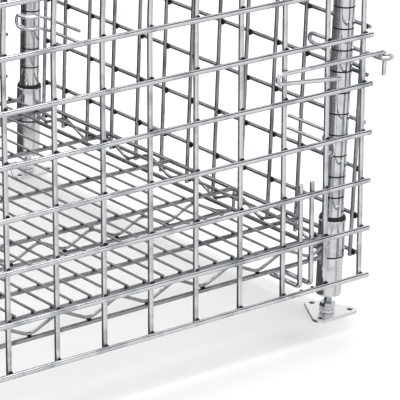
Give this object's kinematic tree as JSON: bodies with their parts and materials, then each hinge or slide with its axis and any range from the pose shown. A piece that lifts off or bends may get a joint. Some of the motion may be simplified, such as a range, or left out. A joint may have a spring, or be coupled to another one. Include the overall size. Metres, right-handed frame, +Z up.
{
  "type": "kennel cage",
  "caption": "Wire kennel cage: wire shelves on grooved posts with levelling feet, welded mesh panels at the sides and back, and hinged mesh doors in front that meet at a slide bolt.",
  "frame": {"origin": "on the ground, under the centre of the bounding box", "axes": "+X along the long side, to the right seen from the front; +Y to the back; +Z up"},
  "size_m": [1.277, 0.6996, 0.8977],
  "materials": {
    "chrome_wire": "bright plated, drawn wire",
    "chrome_tube": "bright plated, rolled tube",
    "plated_casting": "satin plated",
    "black_moulding": "moulded, slightly grained"
  },
  "bodies": {
    "cage": {"front_left_post_socket": "chrome_tube", "front_left_post": "chrome_tube", "front_left_post_cap": "black_moulding", "front_left_bottom_sleeve": "black_moulding", "front_left_top_sleeve": "black_moulding", "front_left_lower_post_hook": "chrome_wire", "front_left_upper_post_hook": "chrome_wire", "front_right_post_socket": "chrome_tube", "front_right_post": "chrome_tube", "front_right_post_cap": "black_moulding", "front_right_bottom_sleeve": "black_moulding", "front_right_top_sleeve": "black_moulding", "front_right_lower_post_hook": "chrome_wire", "front_right_upper_post_hook": "chrome_wire", "rear_left_post_socket": "chrome_tube", "rear_left_post": "chrome_tube", "rear_left_post_cap": "black_moulding", "rear_left_bottom_sleeve": "black_moulding", "rear_left_top_sleeve": "black_moulding", "rear_left_lower_post_hook": "chrome_wire", "rear_left_upper_post_hook": "chrome_wire", "rear_right_post_socket": "chrome_tube", "rear_right_post": "chrome_tube", "rear_right_post_cap": "black_moulding", "rear_right_bottom_sleeve": "black_moulding", "rear_right_top_sleeve": "black_moulding", "rear_right_lower_post_hook": "chrome_wire", "rear_right_upper_post_hook": "chrome_wire", "left_panel": "chrome_wire", "left_lower_hinge_eye": "chrome_wire", "left_upper_hinge_eye": "chrome_wire", "back_left_post_hook": "chrome_wire", "right_panel": "chrome_wire", "right_lower_hinge_eye": "chrome_wire", "right_upper_hinge_eye": "chrome_wire", "back_right_post_hook": "chrome_wire", "bottom_shelf_frame": "chrome_wire", "bottom_shelf_surface": "chrome_wire", "top_shelf_frame": "chrome_wire", "top_shelf_surface": "chrome_wire", "back_panel": "chrome_wire"},
    "right_door": {"right_door": "chrome_wire", "right_shelf_keeper": "chrome_wire", "right_lower_hinge_rod": "chrome_wire", "right_upper_hinge_rod": "chrome_wire", "latch_housing": "plated_casting"},
    "left_door": {"left_door": "chrome_wire", "left_shelf_keeper": "chrome_wire", "left_lower_hinge_rod": "chrome_wire", "left_upper_hinge_rod": "chrome_wire", "latch_strike": "plated_casting"},
    "latch_bolt": {"latch_bolt": "plated_casting"},
    "front_left_foot": {"front_left_foot_plate": "plated_casting", "front_left_levelling_stem": "plated_casting"},
    "front_right_foot": {"front_right_foot_plate": "plated_casting", "front_right_levelling_stem": "plated_casting"},
    "rear_left_foot": {"rear_left_foot_plate": "plated_casting", "rear_left_levelling_stem": "plated_casting"},
    "rear_right_foot": {"rear_right_foot_plate": "plated_casting", "rear_right_levelling_stem": "plated_casting"}
  },
  "joints": [
    {"name": "right_door_hinge", "type": "hinge", "parent": "cage", "child": "right_door", "pos_m": [0.62835, -0.31955, 0.32], "axis": [0, 0, 1], "range_deg": [0, 230]},
    {"name": "left_door_hinge", "type": "hinge", "parent": "cage", "child": "left_door", "pos_m": [-0.62835, -0.31955, 0.32], "axis": [0, 0, -1], "range_deg": [0, 230]},
    {"name": "latch_slide", "type": "slide", "parent": "right_door", "child": "latch_bolt", "axis": [-1, 0, 0], "range_m": [0, 0.028]},
    {"name": "front_left_foot_screw", "type": "slide", "parent": "cage", "child": "front_left_foot", "axis": [0, 0, -1], "range_m": [0, 0.012]},
    {"name": "front_right_foot_screw", "type": "slide", "parent": "cage", "child": "front_right_foot", "axis": [0, 0, -1], "range_m": [0, 0.012]},
    {"name": "rear_left_foot_screw", "type": "slide", "parent": "cage", "child": "rear_left_foot", "axis": [0, 0, -1], "range_m": [0, 0.012]},
    {"name": "rear_right_foot_screw", "type": "slide", "parent": "cage", "child": "rear_right_foot", "axis": [0, 0, -1], "range_m": [0, 0.012]}
  ]
}
